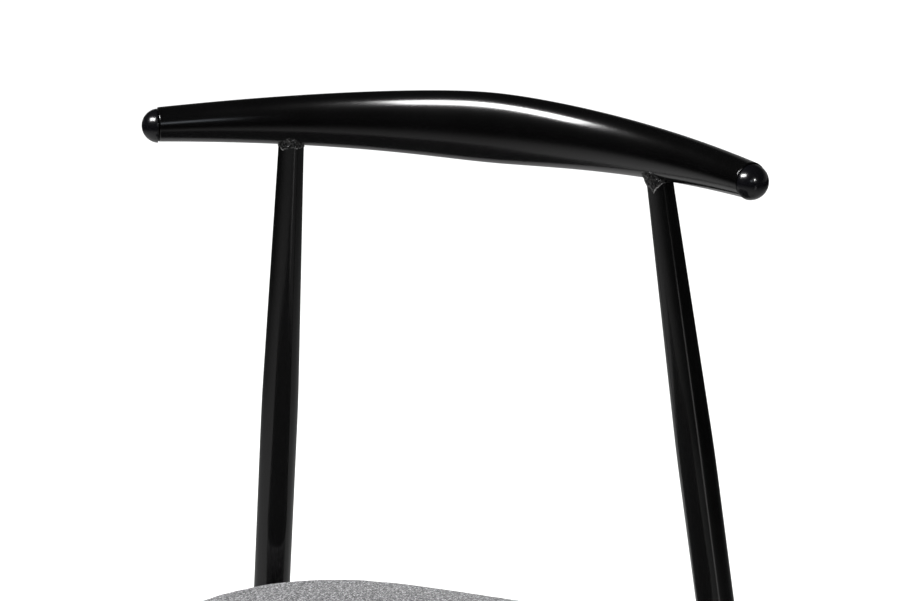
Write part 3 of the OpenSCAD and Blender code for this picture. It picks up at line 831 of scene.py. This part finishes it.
def swell(piece, held_below):
    """Blows a closed cloth up by simulation. Its low points stay, and none moves further than SWELL_CAP."""
    start = coordinates(piece.data)
    group = piece.vertex_groups.new(name="held")
    group.add([int(i) for i in np.flatnonzero(start[:, 2] < held_below)], 1.0, "REPLACE")
    cloth = piece.modifiers.new("swell", "CLOTH")
    settings = cloth.settings
    settings.quality = 6
    settings.mass = 0.3
    settings.tension_stiffness = settings.compression_stiffness = 80
    settings.shear_stiffness = 40
    settings.bending_stiffness = 2
    settings.use_pressure = True
    settings.uniform_pressure_force = SWELL_PRESSURE
    settings.vertex_group_mass = "held"
    settings.effector_weights.gravity = 0
    cloth.collision_settings.use_collision = False
    cloth.point_cache.frame_start, cloth.point_cache.frame_end = 1, SWELL_FRAMES
    scene = bpy.context.scene
    for number in range(1, SWELL_FRAMES + 1):
        scene.frame_set(number)
    shown = piece.evaluated_get(bpy.context.evaluated_depsgraph_get())
    end = coordinates(shown.data)
    piece.modifiers.clear()
    scene.frame_set(1)
    move = end - start
    far = np.maximum(np.linalg.norm(move, axis=1, keepdims=True) / SWELL_CAP, 1e-6)
    set_coordinates(piece.data, start + move * np.tanh(far) / far)


def fitted(points, low, high):
    """The points stretched a little so that they fill the box from low to high."""
    start, end = points.min(0), points.max(0)
    return low + (points - start) * (high - low) / (end - start)


def outline_of(points, count=240):
    """Evenly spaced points round the widest outline, anticlockwise, their outward normals and its length."""
    flat = points[:, :2]
    half_degrees = 720
    turns = np.linspace(0, 2 * np.pi, half_degrees + 1)[:-1]
    ways = np.stack([np.cos(turns), np.sin(turns)], 1)
    support = (flat @ ways.T).max(0)
    rim = []
    for k in range(len(turns)):
        a, b = ways[k - 1], ways[k]
        rim.append(np.linalg.solve(np.stack([a, b]), [support[k - 1], support[k]]))
    rim = np.array(rim)
    step = np.linalg.norm(np.roll(rim, -1, 0) - rim, axis=1)
    travel = np.concatenate([[0], np.cumsum(step)])
    closed = np.concatenate([rim, rim[:1]])
    even = np.linspace(0, travel[-1], count + 1)[:-1]
    path = np.stack([np.interp(even, travel, closed[:, i]) for i in range(2)], 1)
    ahead = np.roll(path, -1, 0) - np.roll(path, 1, 0)
    normal = np.stack([ahead[:, 1], -ahead[:, 0]], 1)
    return path, normal / np.linalg.norm(normal, axis=1, keepdims=True), travel[-1]


def nearest_on(path, points):
    """For each point, its place along the path, counted in the path's own steps, and how far off it is."""
    number, batch = np.empty(len(points), int), 4000
    for start in range(0, len(points), batch):
        part = points[start:start + batch]
        number[start:start + batch] = np.linalg.norm(part[:, None, :2] - path[None], axis=2).argmin(1)
    ahead = (np.roll(path, -1, 0) - np.roll(path, 1, 0)) / 2
    step = np.linalg.norm(ahead, axis=1)
    gap = points[:, :2] - path[number]
    along = (gap * ahead[number]).sum(1) / step[number]
    away = np.sqrt(np.maximum((gap ** 2).sum(1) - along ** 2, 0))
    return number + along / step[number], away


def at_places(values, places):
    """The values of a closed path at places between its points."""
    low = np.floor(places).astype(int)
    share = (places - low).reshape([-1] + [1] * (values.ndim - 1))
    return values[low % len(values)] * (1 - share) + values[(low + 1) % len(values)] * share


def lay_cloth(mesh, path, normal, widest_z):
    """Stores where each point of the cover lay on the flat cloth, for the weave."""
    points = coordinates(mesh)
    places, away = nearest_on(path, points)
    fall = pad_high.z - widest_z - PAD_CROWN
    outward = np.maximum(PAD_ROUND - away, 0) / PAD_ROUND
    upward = np.maximum(points[:, 2] - widest_z, 0) / fall
    turn = np.arctan2(outward, upward)
    over = turn * (PAD_ROUND + fall) / 2 - PAD_ROUND
    down = np.maximum(widest_z - points[:, 2], 0)
    under = points[:, 2] < pad_low.z + 1.5 * MM
    run = np.where(under, over + down + away, over + down)
    flat = at_places(path, places) + at_places(normal, places) * run[:, None]
    flat = np.where((turn > 0)[:, None] | under[:, None], flat, points[:, :2])
    layout = mesh.attributes.new("cloth", "FLOAT_VECTOR", "POINT")
    layout.data.foreach_set("vector", np.column_stack([flat, np.zeros(len(flat))]).ravel())


def pleat(points, path, normal, length, widest_z):
    """Small folds where the cover is drawn in round the four corners, deepest at the staples."""
    deepest, reach, pitch, drift = 1.3 * MM, 14 * MM, 11 * MM, 17 * MM
    places, away = nearest_on(path, points)
    turn = np.cross(np.roll(normal, 3, 0), np.roll(normal, -3, 0))
    corner = np.clip(turn / turn.max() * 2.0, 0, 1)
    corner = np.convolve(np.concatenate([corner[-6:], corner, corner[:6]]), np.ones(7) / 7, "same")[6:-6]
    travel = np.arange(len(path)) * length / len(path)
    fold = np.abs(np.sin(np.pi * travel / pitch + 0.8 * np.sin(travel / drift))) ** 0.6
    depth = np.clip((widest_z - points[:, 2]) / (widest_z - pad_low.z), 0, 1) ** 1.5
    side = np.clip(1 - away / reach, 0, 1)
    push = -deepest * at_places(corner * (1 - fold), places) * depth * side
    moved = points.copy()
    moved[:, :2] += at_places(normal, places) * push[:, None]
    return moved


def pad_blank():
    """An even mesh of the cover's hull, drawn in at its sides for the swelling, and the hull's points."""
    bm = hull_of("seat_cover")
    mesh = bpy.data.meshes.new("seat_cushion")
    bm.to_mesh(mesh)
    bm.free()
    piece = in_scene("seat_cushion", mesh)
    hull = coordinates(mesh)
    middle, size = (pad_low + pad_high) / 2, pad_high - pad_low
    points = hull.copy()
    for axis in (0, 1):
        points[:, axis] = middle[axis] + (hull[:, axis] - middle[axis]) * (1 - SWELL_CAP / size[axis])
    set_coordinates(mesh, points)
    remesh = piece.modifiers.new("even_mesh", "REMESH")
    remesh.mode = "VOXEL"
    remesh.voxel_size = 5 * MM
    apply_modifiers(piece)
    return piece, hull


def make_cushion():
    """The upholstered pad: the cover is swelled by simulation, then pleated at its lower corners."""
    piece, hull = pad_blank()
    path, normal, length = outline_of(hull)
    widest_z = float(hull[np.linalg.norm(hull[:, :2], axis=1).argmax(), 2])
    swell(piece, pad_low.z + 3 * MM)
    finer = piece.modifiers.new("finer", "SUBSURF")
    finer.levels = finer.render_levels = 1
    apply_modifiers(piece)
    points = fitted(coordinates(piece.data), np.array(pad_low), np.array(pad_high) + [0, 0, CROWN_RISE])
    points = pleat(points, path, normal, length, widest_z)
    points[:, 2] = np.maximum(points[:, 2], pad_low.z)
    set_coordinates(piece.data, points)
    lay_cloth(piece.data, path, normal, widest_z)
    shade_smooth(piece.data)
    piece.data.materials.clear()
    piece.data.materials.append(fabric)
    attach(piece, ROOT)
    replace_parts(piece, "seat_cover", "seat_foam", "seat_wadding")


def make_dust_cover():
    """The cloth under the seat: stapled round its edge, slack and faintly wrinkled in between."""
    low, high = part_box("dust_cover")
    path, _, _ = outline_of(coordinates(nodes["dust_cover"].data), 160)
    middle = path.mean(0)
    thick, rings, sag = high.z - low.z, 34, 1.1 * MM
    levels = []
    for i in range(rings):
        share = 1 - i / rings
        ring = []
        for x, y in middle + (path - middle) * share:
            slack = (1 - share ** 4) * sag
            broad = noise.noise(Vector((x * 9, y * 9, 0))) * 1.2
            fine = noise.noise(Vector((x * 30, y * 22, 5))) * 0.35
            ring.append((x, y, low.z - slack * (0.7 + 0.6 * (broad + fine))))
        levels.append(ring)
    count = len(path)
    verts = [p for ring in levels for p in ring] + [(middle[0], middle[1], levels[-1][0][2])]
    tip = len(verts) - 1
    faces = []
    for outer in range(0, (rings - 1) * count, count):
        inner = outer + count
        faces += [(outer + k, outer + (k + 1) % count, inner + (k + 1) % count, inner + k)
                  for k in range(count)]
    faces += [(inner + k, inner + (k + 1) % count, tip) for k in range(count)]
    base = len(verts)
    verts += [(x, y, z + thick) for x, y, z in verts]
    faces += [tuple(i + base for i in reversed(face)) for face in faces]
    faces += [(k, base + k, base + (k + 1) % count, (k + 1) % count) for k in range(count)]
    piece = new_piece("seat_dust_cloth", verts, faces, dust_cloth)
    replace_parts(piece, "dust_cover")


# ---- Camera, light and floor ----
WORLD_LIGHT = 1.2
WORLD_REFLECTED = 0.015
HORIZON_GLOW = 0.3
POOL_MIDDLE = (-0.3, 0.5)  # of the part of the floor that reflections see bright
POOL_SIZE = (1.8, 2.1)
STAGE_REACH = 40


def photo_camera():
    """The photograph's view: from ahead and to the right, a little above the back rail."""
    azimuth, elevation, distance = math.radians(24.45), math.radians(14.35), 2.48
    shift_right, shift_up = -26.45 * MM, -117.3 * MM
    back = Vector((math.sin(azimuth) * math.cos(elevation), -math.cos(azimuth) * math.cos(elevation),
                   math.sin(elevation)))
    right = Vector((math.cos(azimuth), math.sin(azimuth), 0))
    up = back.cross(right)
    data = bpy.data.cameras.new("photo_camera")
    data.lens, data.sensor_width = 146.42, 36
    data.clip_start, data.clip_end = 0.05, 100
    camera = in_scene("photo_camera", data)
    camera.location = RAIL_MIDDLE + right * shift_right + up * shift_up + back * distance
    camera.rotation_euler = (-back).to_track_quat("-Z", "Y").to_euler()
    bpy.context.scene.camera = camera


def direction(azimuth, elevation):
    """The way from the chair to something at these angles. Azimuth 0 is straight ahead, + is to +X."""
    a, e = math.radians(azimuth), math.radians(elevation)
    return Vector((math.sin(a) * math.cos(e), -math.cos(a) * math.cos(e), math.sin(e)))


def soft_light(name, azimuth, elevation, distance, size, power, colour=(1, 1, 1), roll=0):
    """A soft box that points at the back rail, turned by roll. It is out of the camera's sight."""
    data = bpy.data.lights.new(name, "AREA")
    data.shape = "RECTANGLE"
    data.size, data.size_y = size
    data.energy = power
    data.color = colour
    lamp = in_scene(name, data)
    way = direction(azimuth, elevation)
    lamp.location = RAIL_MIDDLE + way * distance
    turn = Matrix.Rotation(math.radians(roll), 4, way) @ way.to_track_quat("Z", "Y").to_matrix().to_4x4()
    lamp.rotation_euler = turn.to_euler()
    lamp.visible_camera = False


def studio_world():
    """A pale room all round. Reflections see it dark but for a glow low behind the chair."""
    world = bpy.data.worlds.new("studio")
    bpy.context.scene.world = world
    world.use_nodes = True
    tree = world.node_tree
    tree.nodes.clear()
    add, link = tree.nodes.new, tree.links.new
    path = add("ShaderNodeLightPath")
    pale, reflected = add("ShaderNodeBackground"), add("ShaderNodeBackground")
    pale.inputs["Strength"].default_value = WORLD_LIGHT
    pale.inputs["Color"].default_value = (1, 1, 1, 1)
    reflected.inputs["Color"].default_value = (1, 1, 1, 1)
    place, split = add("ShaderNodeTexCoord"), add("ShaderNodeSeparateXYZ")
    glow = add("ShaderNodeMapRange")
    link(place.outputs["Generated"], split.inputs[0])
    height = add("ShaderNodeMath")
    height.operation = "MULTIPLY_ADD"
    link(split.outputs["Z"], height.inputs[0])
    height.inputs[1].default_value = -1.6
    link(split.outputs["Y"], height.inputs[2])
    link(height.outputs[0], glow.inputs["Value"])
    limits = {"From Min": -0.1, "From Max": 0.8, "To Min": WORLD_REFLECTED, "To Max": HORIZON_GLOW}
    for name, number in limits.items():
        glow.inputs[name].default_value = number
    link(glow.outputs["Result"], reflected.inputs["Strength"])
    mix, out = add("ShaderNodeMixShader"), add("ShaderNodeOutputWorld")
    link(path.outputs["Is Glossy Ray"], mix.inputs["Fac"])
    link(pale.outputs[0], mix.inputs[1])
    link(reflected.outputs[0], mix.inputs[2])
    link(mix.outputs[0], out.inputs["Surface"])


def stage_plane(name, low, high, z, material):
    """A level sheet of the studio, which is not part of the chair."""
    mesh = bpy.data.meshes.new(name)
    mesh.from_pydata([(low[0], low[1], z), (high[0], low[1], z), (high[0], high[1], z), (low[0], high[1], z)],
                     [], [(0, 1, 2, 3)])
    mesh.materials.append(material)
    plane = in_scene(name, mesh)
    return plane


def see_through(n):
    """Makes a material a clear pane. Returns the socket for its tint."""
    pane = n.add("ShaderNodeBsdfTransparent")
    n.link(pane.outputs[0], n.tree.nodes["Material Output"].inputs["Surface"])
    return pane.inputs["Color"]


def make_floor():
    n = Nodes("pale_floor")
    n.set(Base_Color=(0.88, 0.88, 0.88, 1), Roughness=0.85, Specular_IOR_Level=0.1)
    stage_plane("floor", (-STAGE_REACH, -STAGE_REACH), (STAGE_REACH, STAGE_REACH), 0, n.material)


def make_reflected_card():
    """A dark card just over the floor, seen only by reflections, that is darkest away from the chair."""
    c = Nodes("dark_card")
    mapping = c.add("ShaderNodeMapping")
    mapping.inputs["Location"].default_value = [-m / s for m, s in zip(POOL_MIDDLE, POOL_SIZE)] + [0]
    mapping.inputs["Scale"].default_value = [1 / s for s in POOL_SIZE] + [0]
    c.link(c.object_place, mapping.inputs["Vector"])
    far = c.add("ShaderNodeVectorMath", operation="LENGTH")
    c.link(mapping.outputs["Vector"], far.inputs[0])
    fade = c.ramp(c.math("MULTIPLY", far.outputs["Value"], 0.5), [
        (0.0, (0.42,) * 3), (0.2, (0.3,) * 3), (0.4, (0.17,) * 3), (0.5, (0.1,) * 3), (0.6, (0.04,) * 3),
        (0.8, (0.01,) * 3)])
    c.link(fade, see_through(c))
    card = stage_plane("reflected_card", (-STAGE_REACH, -STAGE_REACH), (STAGE_REACH, STAGE_REACH),
                       2 * MM, c.material)
    card.visible_camera = card.visible_diffuse = card.visible_shadow = False


def make_seat_flag():
    """A smoked pane just over the pad, which only reflections see, keeps the pad's image in the rail dark."""
    path, _, _ = outline_of(coordinates(nodes["seat_cover"].data), 96)
    mesh = bpy.data.meshes.new("seat_flag")
    mesh.from_pydata([(x, y, pad_high.z + 6 * MM) for x, y in path], [], [tuple(range(len(path)))])
    flag = in_scene("seat_flag", mesh)
    pane = Nodes("smoked_pane")
    see_through(pane).default_value = (0.32, 0.32, 0.32, 1)
    mesh.materials.append(pane.material)
    flag.visible_camera = flag.visible_diffuse = flag.visible_shadow = False


def make_lights():
    soft_light("key_softbox", -36, 43, 2.6, (1.43, 0.68), 132, roll=24)
    soft_light("left_strip", 31, 15.8, 2.2, (0.5, 0.36), 1.15, (0.85, 0.92, 1.0))
    soft_light("side_lamp", 51, 20, 2.0, (0.15, 0.15), 9)
    soft_light("edge_strip", 57, -25, 1.5, (0.09, 0.55), 0.3)


def finish_nodes():
    """Better materials for the CAD nodes that are shown as they are."""
    finishes = {"seat_board": plywood(), "tee_nuts": zinc, "staples": zinc, "seat_washers": zinc,
                "seat_screws": black_zinc, "front_leg_plugs": matte_plastic}
    for row in ("front", "rear"):
        for word in ("left", "right"):
            finishes["seat_bracket_" + row + "_" + word] = black_steel
    for name, material in finishes.items():
        for slot in nodes[name].material_slots:
            slot.material = material


bpy.context.scene.view_settings.view_transform = "Standard"
photo_camera()
studio_world()
make_floor()
make_reflected_card()
make_seat_flag()
make_lights()

make_back_rail()
make_end_cap(LEFT)
make_end_cap(RIGHT)
make_legs()
front_knees, rear_knees = make_seat_frame()
make_rail_welds()
make_frame_welds(front_knees, rear_knees)

make_feet()
make_cushion()
make_dust_cover()
finish_nodes()
